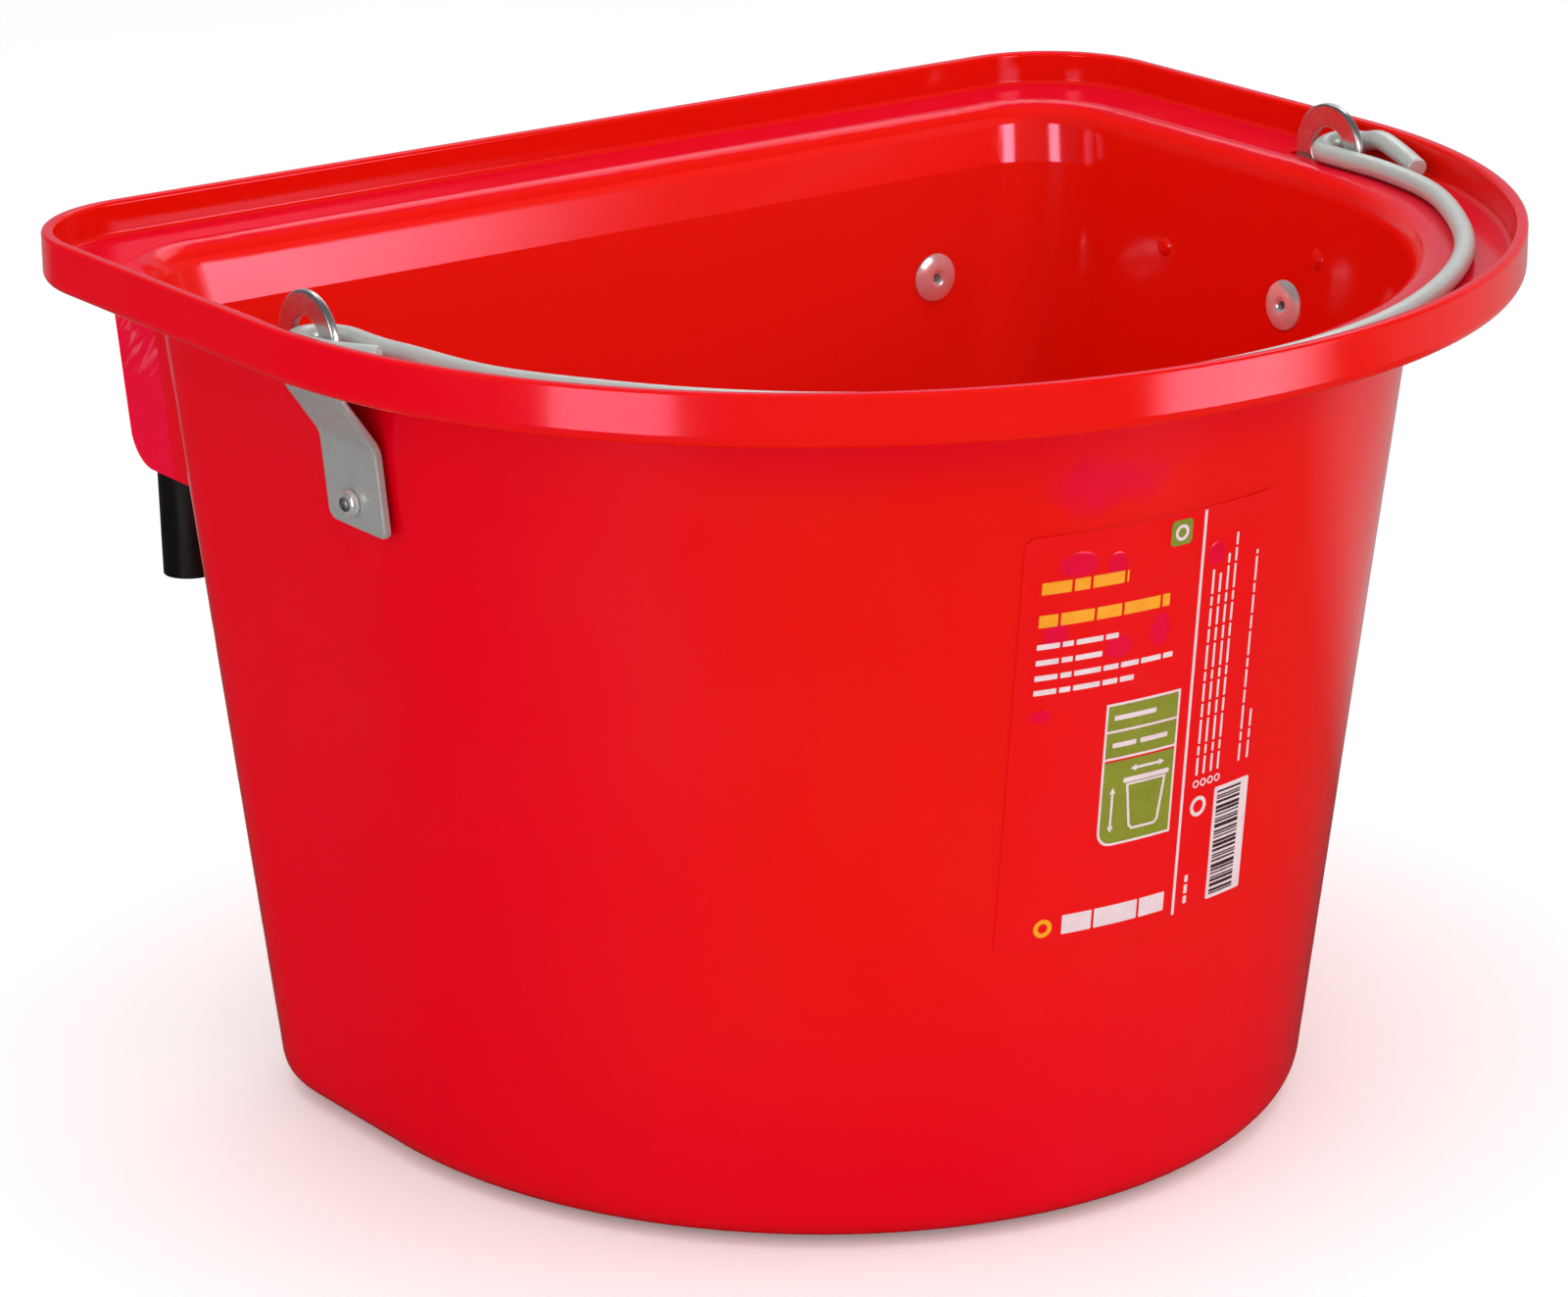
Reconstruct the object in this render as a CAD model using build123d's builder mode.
from build123d import *
import math
import os

# Hanging feed bucket: a D-shaped tub with a flanged rim, a wire carrying handle
# held in two riveted eye brackets, and two riveted hooks behind the rear wall.
# Millimetres. +Z up, Z = 0 is the floor under the feet. X = 0 is the mirror
# plane, the wall side with the hooks is toward +Y and the front toward -Y.
# "Right" is +X. Y = 0 is the middle of the whole depth, hooks included.

# ---------------------------------------------------------------- dimensions
# rim, lip and ledge
rear_y = 142.16           # the flat rear edge of the rim
height = 260.0            # floor to the top of the rim
rim_half_width = 195.0
rim_front = rear_y - 325.0
rim_corner_r = 38.0       # rear corners of the rim, seen from above
rim_side_end = rear_y - 142.0   # the straight sides stop here, the front is half an ellipse
lip_t = 3.5               # thickness of the upstanding lip
lip_under_r = 3.2         # rounding under the lip
lip_top_r = 1.15          # rounding of the two top edges of the lip
lip_foot_r = 1.8          # hollow rounding from the lip to the ledge
ledge_top = 249.6         # flat ledge inside the lip
ledge_under = 245.4       # underside of the ledge
ledge_inner_r = 8.0       # rounding from the ledge down into the tub
ledge_outer_r = 9.0       # hollow rounding under the ledge
collar_z = 232.0          # inside, the rear wall leans back above this height
collar_angle = 12.0
overcut = 1.0             # how far cutters pass the faces they open

# tub
base_z = 1.7              # underside of the floor, above the feet
wall_t = 2.5
floor_t = 3.0
base_r = 10.0             # outside rounding between floor and wall
floor_r = 9.0             # inside rounding between floor and wall
rear_wall = rear_y - 25.5 # outside of the rear wall, upright
# the tub's outside: half width, rear corner radius, end of the straight sides, front
tub_base = (144.0, 45.0, rear_y - 115.5, rear_y - 268.5)   # at z = 0
tub_top = (169.0, 26.0, rear_y - 139.1, rear_y - 291.5)    # at the underside of the ledge

# rear fins
fin_x_top = 158.4         # mid-plane of a fin at the ledge
fin_t = 2.5
fin_front, fin_rear = -50.0, -0.8   # from the rim's rear edge
fin_bottom = 181.5
fin_corner_r = 10.0

# feet on the right half: x, y
foot_r = 12.0
foot_edge_r = 0.9
foot_sink = 0.8           # how far a foot reaches into the floor
feet_places = ((80.0, rear_y - 208.0), (104.0, rear_y - 58.0))

# domes inside the side wall: y, z, radius
domes = ((rear_y - 87.0, 214.0, 3.0), (rear_y - 157.0, 224.0, 3.4))

# handle brackets
fit_gap = 0.05            # between the tub and the strips or film on it
eye_y, eye_z = rear_y - 143.5, 252.8       # middle of the bracket's eye
eye_x = 179.6             # middle of the upright eye plate
eye_r = 14.0
eye_hole_r = 7.0
eye_edge_r = 0.8
strip_t = 2.5
strip_w = 2 * eye_r
strip_bottom = 198.8
strip_rear_corner_r, strip_front_corner_r = 3.5, 2.5
bend_low = 224.0          # where the bracket leaves the wall
bend_angle = 35.0         # outward lean of its sloping part
bend_r = 9.0              # inside radius of the two bends
slot_w, slot_l, slot_corner_r = 6.8, 30.6, 2.0

# handle wire
wire_r = 3.0
wire_end_r = 0.6
wire_end_len = 3.0        # straight piece at the end of a tail
wire_rest_z = eye_z       # middle of the wire where it lies on the ledge
wire_front = rear_y - 310.5
pivot_y = rear_y - 141.0  # handle axis, along X, through both eyes

# rivets
rivet_z_side, rivet_z_rear = 207.0, 199.0
rivet_r = 2.4
rivet_hole_r = rivet_r + 0.1
rivet_gap = 0.03          # under the flange and under the tail
flange_r = 7.7
seat_r = flange_r + 0.6
bore_r = 1.4
tail_r = 3.45
tail_h = 2.6              # height of the upset tail, without the pin

# wall hooks and their sleeves
hook_x = 119.0
hook_w, hook_t = 13.6, 3.0
hook_foot_bottom = 186.0
hook_foot_corner_r = 3.0
hook_bridge_top = 242.3
hook_wall_bend_r, hook_leg_bend_r = 3.5, 5.0    # inside radii of the bends
hook_leg_y, hook_leg_z = rear_y + 29.0, 134.0   # middle of the leg at the sleeve's lower end
hook_leg_recess = 4.0     # the leg ends this far above the sleeve's lower end
leg_lean = math.radians(2.0)    # the leg closes toward the tub as it goes down
sleeve_r, sleeve_bore_r, sleeve_len = 8.5, 7.1, 92.0
sleeve_edge_r = 0.5

# label film
label_x0, label_x1, label_z0, label_z1 = -49.0, 35.0, 88.0, 207.6
label_corner_r = 3.0
film_t = 0.25

# ---------------------------------------------------------------- tub geometry
tub_top_half_width, tub_top_front = tub_top[0], tub_top[3]
slope = (tub_top_half_width - tub_base[0]) / ledge_under
draft = math.atan(slope)
draft_cos, draft_sin = math.cos(draft), math.sin(draft)


def tub_at(z):
    # the four tub sizes at one height
    return [low + (high - low) * z / ledge_under for low, high in zip(tub_base, tub_top)]


def wall_x(z):
    # outside of the straight side wall
    return tub_at(z)[0]


def d_outline(half_width, rear, front, corner, side_end):
    # straight rear, two round rear corners, straight sides, elliptical front
    center_x, center_y = half_width - corner, rear - corner
    diagonal = corner * math.sin(math.pi / 4)
    Line((-center_x, rear), (center_x, rear))
    ThreePointArc(
        (center_x, rear),
        (center_x + diagonal, center_y + diagonal),
        (half_width, center_y),
    )
    Line((half_width, center_y), (half_width, side_end))
    EllipticalCenterArc((0, side_end), half_width, side_end - front, 180, arc_size=180)
    Line((-half_width, side_end), (-half_width, center_y))
    ThreePointArc(
        (-half_width, center_y),
        (-(center_x + diagonal), center_y + diagonal),
        (-center_x, rear),
    )


def tub_outline(z, grow, rear_shift=0.0):
    # the tub's outside at one height, grown outward, its rear side moved back
    half_width, corner, side_end, front = tub_at(z)
    d_outline(
        half_width + grow,
        rear_wall + grow + rear_shift,
        front - grow,
        corner + grow,
        side_end,
    )


def rim_outline(inset):
    d_outline(
        rim_half_width - inset,
        rear_y - inset,
        rim_front + inset,
        rim_corner_r - inset,
        rim_side_end,
    )


def inner_wall_plane(y, z):
    # plane on the inside of the right wall at (y, z), its Z pointing out of the tub
    half_width, _, side_end, front = tub_at(z)
    radius_x = half_width - wall_t
    radius_y = side_end - front - wall_t
    if y >= side_end:
        x, normal_x, normal_y = radius_x, 1.0, 0.0
    else:
        x = radius_x * math.sqrt(1 - ((y - side_end) / radius_y) ** 2)
        normal_x, normal_y = x / radius_x**2, (y - side_end) / radius_y**2
        length = math.hypot(normal_x, normal_y)
        normal_x, normal_y = normal_x / length, normal_y / length
    return Plane(
        origin=(x, y, z),
        x_dir=(-normal_y, normal_x, 0),
        z_dir=(normal_x * draft_cos, normal_y * draft_cos, -draft_sin),
    )


# planes on the outside of the tub at the right-hand rivets, Z pointing out
rivet_side = Plane(
    origin=(wall_x(rivet_z_side), eye_y, rivet_z_side),
    x_dir=(0, 1, 0),
    z_dir=(draft_cos, 0, -draft_sin),
)
rivet_rear = Plane(origin=(hook_x, rear_wall, rivet_z_rear), x_dir=(-1, 0, 0), z_dir=(0, 1, 0))


# ---------------------------------------------------------------- shared helpers
def radial_section(origin, radial, axis_dir):
    # plane for a half section: x = radius, y = distance along the axis
    return Plane(origin=origin, x_dir=radial, z_dir=radial.cross(axis_dir))


def strip_sides(path, thickness):
    # the two offset polylines of a bent strip, mitred at the bends
    steps = [(b[0] - a[0], b[1] - a[1]) for a, b in zip(path, path[1:])]
    units = [(dx / math.hypot(dx, dy), dy / math.hypot(dx, dy)) for dx, dy in steps]
    left, right = [], []
    for i, (x, y) in enumerate(path):
        meeting = units[max(i - 1, 0):i + 1]
        across_x = -sum(unit[1] for unit in meeting) / len(meeting)
        across_y = sum(unit[0] for unit in meeting) / len(meeting)
        scale = thickness / 2 / (across_x**2 + across_y**2)
        left.append((x + across_x * scale, y + across_y * scale))
        right.append((x - across_x * scale, y - across_y * scale))
    return left, right


def near(points, target):
    return min(points, key=lambda v: (v.X - target[0]) ** 2 + (v.Y - target[1]) ** 2)


def mirrored(part):
    with BuildPart() as other_side:
        add(part)
        mirror(about=Plane.YZ, mode=Mode.REPLACE)
    return other_side.part


# ---------------------------------------------------------------- edge selection
def edges_at(body, z):
    return body.edges().filter_by_position(Axis.Z, z - 0.01, z + 0.01)


def near_tub(edge, margin, rear_margin):
    # whole edge within the rectangle around the tub's top
    return all(
        abs(point.X) < tub_top_half_width + margin
        and tub_top_front - margin < point.Y < rear_wall + rear_margin
        for point in (edge @ u for u in (0, 0.5, 1))
    )


def on_rim_border(edge):
    # some point of the edge close to the outer limits of the rim
    border = 8
    return any(
        abs(point.X) > rim_half_width - border
        or point.Y > rear_y - border
        or point.Y < rim_front + border
        for point in (edge @ u for u in (0, 0.5, 1))
    )


def at_lip_foot(edge):
    # whole edge along the inner face of the lip
    def on_front_ellipse(point):
        return point.Y < rim_side_end and math.hypot(
            point.X / (rim_half_width - lip_t),
            (point.Y - rim_side_end) / (rim_side_end - rim_front - lip_t),
        ) > 0.99

    return all(
        abs(point.X) > rim_half_width - lip_t - 0.5
        or point.Y > rear_y - lip_t - 0.5
        or on_front_ellipse(point)
        for point in (edge @ u for u in (0.1, 0.5, 0.9))
    )


# ---------------------------------------------------------------- bucket body
def make_hollow():
    # the inside of the tub, as a solid to cut away
    collar_top = ledge_top + overcut
    collar_shift = (collar_top - collar_z) * math.tan(math.radians(collar_angle))
    with BuildPart() as hollow:
        for z in (base_z + floor_t, collar_z):
            with BuildSketch(Plane.XY.offset(z)):
                with BuildLine():
                    tub_outline(z, -wall_t)
                make_face()
        loft(ruled=True)
        fillet(hollow.faces().sort_by(Axis.Z)[0].edges(), floor_r)
        # sloping collar above, only the rear side leans away
        for z, shift in ((collar_z, 0), (collar_top, collar_shift)):
            with BuildSketch(Plane.XY.offset(z)):
                with BuildLine():
                    tub_outline(z, -wall_t, shift)
                make_face()
        loft(ruled=True)
    return hollow.part


def make_bucket_body():
    hollow = make_hollow()
    fin_plane = Plane(
        origin=(fin_x_top, rear_y, ledge_under),
        x_dir=(0, 1, 0),
        z_dir=(draft_cos, 0, -draft_sin),
    )
    fin_drop = (ledge_under - fin_bottom) / draft_cos
    fin_overlap = 1.0     # reaches up into the ledge

    with BuildPart() as body:
        # drafted tub, still solid
        for z in (base_z, ledge_under):
            with BuildSketch(Plane.XY.offset(z)):
                with BuildLine():
                    tub_outline(z, 0)
                make_face()
        loft(ruled=True)
        fillet(body.faces().sort_by(Axis.Z)[0].edges(), base_r)

        # flanged rim, recessed to leave the lip
        with BuildSketch(Plane.XY.offset(ledge_under)):
            with BuildLine():
                rim_outline(0)
            make_face()
        extrude(amount=height - ledge_under)
        with BuildSketch(Plane.XY.offset(ledge_top)):
            with BuildLine():
                rim_outline(lip_t)
            make_face()
        extrude(amount=height - ledge_top + overcut, mode=Mode.SUBTRACT)

        # hollow rounding under the ledge, then the rounding under the lip
        under = edges_at(body, ledge_under).sort_by(Axis.Y)
        fillet([e for e in under if near_tub(e, 0.5, 0.5)], ledge_outer_r)
        fillet([e for e in edges_at(body, ledge_under) if on_rim_border(e)], lip_under_r)

        # two rear fins that keep the tub square against a board
        with BuildSketch(fin_plane):
            with BuildLine():
                Polyline(
                    (fin_front, -fin_drop),
                    (fin_rear, -fin_drop),
                    (fin_rear, fin_overlap),
                    (fin_front, fin_overlap),
                    close=True,
                )
            make_face()
            fillet(near(vertices(), (fin_rear, -fin_drop)), fin_corner_r)
        fin = extrude(amount=fin_t / 2, both=True)
        mirror(fin, about=Plane.YZ)

        # hollowing also trims the fins inside the tub
        add(hollow, mode=Mode.SUBTRACT)

        # roundings from the ledge into the tub, at the foot of the lip and on its top
        mouth_edges = [e for e in edges_at(body, ledge_top) if near_tub(e, 0, 5)]
        fillet(mouth_edges, ledge_inner_r)
        fillet([e for e in edges_at(body, ledge_top) if at_lip_foot(e)], lip_foot_r)
        fillet(edges_at(body, height), lip_top_r)

        # slots for the handle brackets
        with BuildSketch(Plane.XY.offset(ledge_under - overcut)):
            with Locations((eye_x, eye_y), (-eye_x, eye_y)):
                Rectangle(slot_w, slot_l)
            fillet(vertices(), slot_corner_r)
        extrude(amount=ledge_top - ledge_under + 2 * overcut, mode=Mode.SUBTRACT)

        # flat rivet seats inside the side walls, then the rivet holes:
        # plane, offset of the sketch, radius, extrusion
        for plane, start, radius, length in (
            (rivet_side, -wall_t, seat_r, -6),
            (rivet_side, -8, rivet_hole_r, 12),
            (rivet_rear, -8, rivet_hole_r, 12),
        ):
            with BuildSketch(plane.offset(start)):
                Circle(radius)
            cut = extrude(amount=length, mode=Mode.SUBTRACT)
            mirror(cut, about=Plane.YZ, mode=Mode.SUBTRACT)

        # small moulded location domes inside each side wall, rooted 0.8 in the wall
        for dome_y, dome_z, dome_r in domes:
            seat = inner_wall_plane(dome_y, dome_z)
            with BuildSketch(radial_section(seat.origin, seat.x_dir, seat.z_dir)):
                with BuildLine():
                    Polyline((0.4, -1.15), (0, -1.15), (0, 0.8), (dome_r, 0.8), (dome_r, -0.1))
                    ThreePointArc((dome_r, -0.1), (dome_r * 0.7, -0.85), (0.4, -1.15))
                make_face()
            dome = revolve(axis=Axis(seat.origin, seat.z_dir))
            mirror(dome, about=Plane.YZ)

        # low feet
        with BuildSketch(Plane.XY):
            with Locations(*[(side * x, y) for x, y in feet_places for side in (1, -1)]):
                Circle(foot_r)
        extrude(amount=base_z + foot_sink)
        fillet(edges_at(body, 0).filter_by(GeomType.CIRCLE), foot_edge_r)
    return body.part


# ---------------------------------------------------------------- handle brackets
def make_handle_bracket():
    # right bracket: along the wall, sloping outward, then upright through the slot
    off_wall = fit_gap + strip_t / 2 / draft_cos
    foot_x = wall_x(strip_bottom) + off_wall
    leave_x = wall_x(bend_low) + off_wall
    rise = (eye_x - leave_x) / math.tan(math.radians(bend_angle))
    # x, z along the middle of the strip
    path = [
        (foot_x, strip_bottom),
        (leave_x, bend_low),
        (eye_x, bend_low + rise),
        (eye_x, eye_z + eye_r),
    ]
    left, right = strip_sides(path, strip_t)
    rear, front = eye_y + strip_w / 2, eye_y - strip_w / 2

    with BuildPart() as bracket:
        with BuildSketch(Plane.XZ.offset(-rear)):
            with BuildLine():
                Polyline(*left, *reversed(right), close=True)
            make_face()
            for corner, radius in (
                (right[1], bend_r),
                (left[1], bend_r + strip_t),
                (right[2], bend_r + strip_t),
                (left[2], bend_r),
            ):
                fillet(near(vertices(), corner), radius)
        extrude(amount=strip_w)
        # outline of the strip seen from the side, with the round eye on top
        with BuildSketch(Plane.YZ.offset(eye_x - 40)):
            with BuildLine():
                Polyline(
                    (rear, eye_z),
                    (rear, strip_bottom),
                    (front, strip_bottom),
                    (front, eye_z),
                )
                ThreePointArc((front, eye_z), (eye_y, eye_z + eye_r), (rear, eye_z))
            make_face()
            fillet(near(vertices(), (rear, strip_bottom)), strip_rear_corner_r)
            fillet(near(vertices(), (front, strip_bottom)), strip_front_corner_r)
        extrude(amount=60, mode=Mode.INTERSECT)
        # eye hole
        with BuildSketch(Plane.YZ.offset(eye_x - 8)):
            with Locations((eye_y, eye_z)):
                Circle(eye_hole_r)
        extrude(amount=16, mode=Mode.SUBTRACT)
        # rivet hole
        with BuildSketch(rivet_side.offset(-2)):
            Circle(rivet_hole_r)
        extrude(amount=8, mode=Mode.SUBTRACT)
        # coined edge of the eye
        eye_edges = [
            e
            for e in bracket.edges().filter_by(GeomType.CIRCLE)
            if abs(e.radius - eye_r) < 0.01 or abs(e.radius - eye_hole_r) < 0.01
        ]
        fillet(eye_edges, eye_edge_r)
    return bracket.part


# ---------------------------------------------------------------- handle wire
# Bent by hand, so its two ends differ. Each half is drawn toward +X.
# Runs, from the front middle to the eye: x, distance in front of the rim's rear edge.
right_run = [
    (48, 303.9), (97, 281.0), (133, 251.5), (156.5, 220.5), (169.4, 194.5), (174.2, 171.0),
]
left_run = [
    (48, 303.9), (97, 281.5), (131, 250.5), (151.5, 220.5), (162.3, 196.5), (166.6, 171.0),
]
# Tails, after the turn through the eye: x, distance as above, z.
right_tail = [
    (187.4, 155.8, 256.9), (185.6, 165.0, 256.3), (182.9, 174.0, 255.0), (181.0, 178.7, 254.5),
]
left_tail = [(185.6, 156.5, 254.6), (183.0, 165.0, 254.9), (179.4, 172.0, 255.1)]


def turn_points(x_in, x_out, z_out):
    # start, far point and end of the turn; it crosses the eye plate on the handle axis
    radius = (x_out - x_in) / 2
    x_mid = (x_in + x_out) / 2
    y = pivot_y - math.sqrt(radius**2 - (eye_x - x_mid) ** 2)
    return (
        (x_in, y, wire_rest_z),
        (x_mid, y + radius, (wire_rest_z + z_out) / 2),
        (x_out, y, z_out),
    )


def half_wire(run, turn, tail, tail_dir):
    start = (0, wire_front, wire_rest_z)
    run_points = [(x, rear_y - distance, wire_rest_z) for x, distance in run]
    tail_points = [(x, rear_y - distance, z) for x, distance, z in tail]
    end_point = Vector(*tail_points[-1]) + Vector(*tail_dir).normalized() * wire_end_len
    with BuildPart() as half:
        with BuildLine() as path:
            bend = ThreePointArc(*turn)
            Spline(start, *run_points, turn[0], tangents=[(1, 0, 0), bend % 0])
            Spline(turn[2], *tail_points, tangents=[bend % 1, tail_dir])
            Line(Vector(*tail_points[-1]), end_point)
        with BuildSketch(Plane(origin=start, x_dir=(0, 1, 0), z_dir=(1, 0, 0))):
            Circle(wire_r)
        sweep(path=path.wires()[0])
        # deburred wire end
        end_edges = [
            e
            for e in half.edges().filter_by(GeomType.CIRCLE)
            if (e.arc_center - end_point).length < 0.5
        ]
        fillet(end_edges, wire_end_r)
    return half.part


def make_handle_bail():
    right_turn = turn_points(x_in=175.0, x_out=187.6, z_out=255.2)
    left_turn = turn_points(x_in=169.0, x_out=185.4, z_out=254.1)
    right_half = half_wire(right_run, right_turn, right_tail, tail_dir=(-0.36, -0.92, -0.11))
    left_half = half_wire(left_run, left_turn, left_tail, tail_dir=(-0.55, -0.83, 0.0))
    with BuildPart() as bail:
        add(right_half)
        add(left_half.mirror(Plane.YZ))
    return bail.part


# ---------------------------------------------------------------- rivets
# Half sections: x = radius, y = distance out of the tub from the wall's outer face.
# The grip is how far the riveted strip stands out from that face.
def rivet_outline(grip):
    back = -wall_t - rivet_gap
    tail_start = grip + rivet_gap
    tail_end = tail_start + tail_h
    Polyline((bore_r, back - 1.15), (bore_r, tail_end), (tail_r - 1.3, tail_end))
    ThreePointArc(
        (tail_r - 1.3, tail_end),
        (tail_r - 0.38, tail_end - 0.38),
        (tail_r, tail_end - 1.3),
    )
    Polyline(
        (tail_r, tail_end - 1.3),
        (tail_r, tail_start + 0.5),
        (tail_r - 0.4, tail_start),
        (rivet_r, tail_start),
        (rivet_r, back),
        (flange_r - 0.15, back),
        (flange_r, back - 0.3),
        (flange_r - 0.25, back - 0.75),
    )
    ThreePointArc((flange_r - 0.25, back - 0.75), (5.4, back - 1.55), (2.9, back - 1.9))
    ThreePointArc((2.9, back - 1.9), (2.1, back - 1.65), (bore_r, back - 1.15))


def mandrel_outline(grip):
    tail_end = grip + rivet_gap + tail_h
    shank_r = bore_r - 0.05
    Polyline(
        (0, -wall_t - 0.3),
        (shank_r - 0.3, -wall_t - 0.3),
        (shank_r, -wall_t),
        (shank_r, tail_end + 0.05),
        (2.0, tail_end + 0.05),
        (2.0, tail_end + 0.5),
    )
    ThreePointArc((2.0, tail_end + 0.5), (1.5, tail_end + 1.0), (0.7, tail_end + 1.2))
    Polyline((0.7, tail_end + 1.2), (0, tail_end + 1.2), (0, -wall_t - 0.3))


def turned_pair(outline, plane, thickness):
    # a turned piece on the plane's normal and its mirror image
    with BuildPart() as pair:
        with BuildSketch(radial_section(plane.origin, plane.x_dir * -1, plane.z_dir)):
            with BuildLine():
                outline(fit_gap + thickness)
            make_face()
        revolve(axis=Axis(plane.origin, plane.z_dir))
        mirror(about=Plane.YZ)
    return pair.part


# ---------------------------------------------------------------- wall hooks
def make_wall_hook():
    # right hook: up the rear wall, back over the bridge, down the leg
    wall_y = rear_wall + fit_gap + hook_t / 2
    bridge_z = hook_bridge_top - hook_t / 2
    # y, z along the middle of the strip
    path = [
        (wall_y, hook_foot_bottom),
        (wall_y, bridge_z),
        (hook_leg_y + (bridge_z - hook_leg_z) * math.tan(leg_lean), bridge_z),
        (hook_leg_y + hook_leg_recess * math.tan(leg_lean), hook_leg_z + hook_leg_recess),
    ]
    left, right = strip_sides(path, hook_t)

    with BuildPart() as hook:
        with BuildSketch(Plane.YZ.offset(hook_x - hook_w / 2)):
            with BuildLine():
                Polyline(*left, *reversed(right), close=True)
            make_face()
            for corner, radius in (
                (left[1], hook_wall_bend_r + hook_t),
                (right[1], hook_wall_bend_r),
                (left[2], hook_leg_bend_r + hook_t),
                (right[2], hook_leg_bend_r),
            ):
                fillet(near(vertices(), corner), radius)
        extrude(amount=hook_w)
        # rivet hole and rounded foot
        with BuildSketch(rivet_rear.offset(-1)):
            Circle(rivet_hole_r)
        extrude(amount=6, mode=Mode.SUBTRACT)
        foot_edges = (
            hook.edges()
            .filter_by(Axis.Y)
            .filter_by_position(Axis.Z, hook_foot_bottom - 0.1, hook_foot_bottom + 0.1)
        )
        fillet(foot_edges, hook_foot_corner_r)
    return hook.part


def make_hook_sleeve():
    # right sleeve, a tube around the hook's leg
    sleeve_plane = Plane(
        origin=(hook_x, hook_leg_y, hook_leg_z),
        x_dir=(1, 0, 0),
        z_dir=(0, math.sin(leg_lean), math.cos(leg_lean)),
    )
    with BuildPart() as sleeve:
        with BuildSketch(sleeve_plane):
            Circle(sleeve_r)
            Circle(sleeve_bore_r, mode=Mode.SUBTRACT)
        extrude(amount=sleeve_len)
        outer_edges = [
            e
            for e in sleeve.edges().filter_by(GeomType.CIRCLE)
            if abs(e.radius - sleeve_r) < 0.01
        ]
        fillet(outer_edges, sleeve_edge_r)
    return sleeve.part


# ---------------------------------------------------------------- label film
def make_product_label():
    # a thin skin around the tub, cut to the label's outline on the front
    with BuildPart() as label:
        for z in (base_z, ledge_under):
            with BuildSketch(Plane.XY.offset(z)):
                with BuildLine():
                    tub_outline(z, fit_gap + film_t)
                make_face()
        loft(ruled=True)
        for z in (base_z - overcut, ledge_under + overcut):
            with BuildSketch(Plane.XY.offset(z)):
                with BuildLine():
                    tub_outline(z, fit_gap)
                make_face()
        loft(ruled=True, mode=Mode.SUBTRACT)
        with BuildSketch(Plane.XZ.offset(200 - rear_y)):
            with Locations(((label_x0 + label_x1) / 2, (label_z0 + label_z1) / 2)):
                RectangleRounded(label_x1 - label_x0, label_z1 - label_z0, label_corner_r)
        extrude(amount=150, mode=Mode.INTERSECT)
    return label.part


# ---------------------------------------------------------------- export
bracket_right = make_handle_bracket()
hook_right = make_wall_hook()
sleeve_right = make_hook_sleeve()

parts = {
    "bucket_body": make_bucket_body(),
    "handle_bail": make_handle_bail(),
    "handle_bracket_left": mirrored(bracket_right),
    "handle_bracket_right": bracket_right,
    "bracket_rivets": turned_pair(rivet_outline, rivet_side, strip_t),
    "bracket_rivet_mandrels": turned_pair(mandrel_outline, rivet_side, strip_t),
    "wall_hook_left": mirrored(hook_right),
    "wall_hook_right": hook_right,
    "hook_sleeve_left": mirrored(sleeve_right),
    "hook_sleeve_right": sleeve_right,
    "hook_rivets": turned_pair(rivet_outline, rivet_rear, hook_t),
    "hook_rivet_mandrels": turned_pair(mandrel_outline, rivet_rear, hook_t),
    "product_label": make_product_label(),
}

os.makedirs("parts", exist_ok=True)
for name, part in parts.items():
    part.label = name
    export_step(part, f"parts/{name}.step")
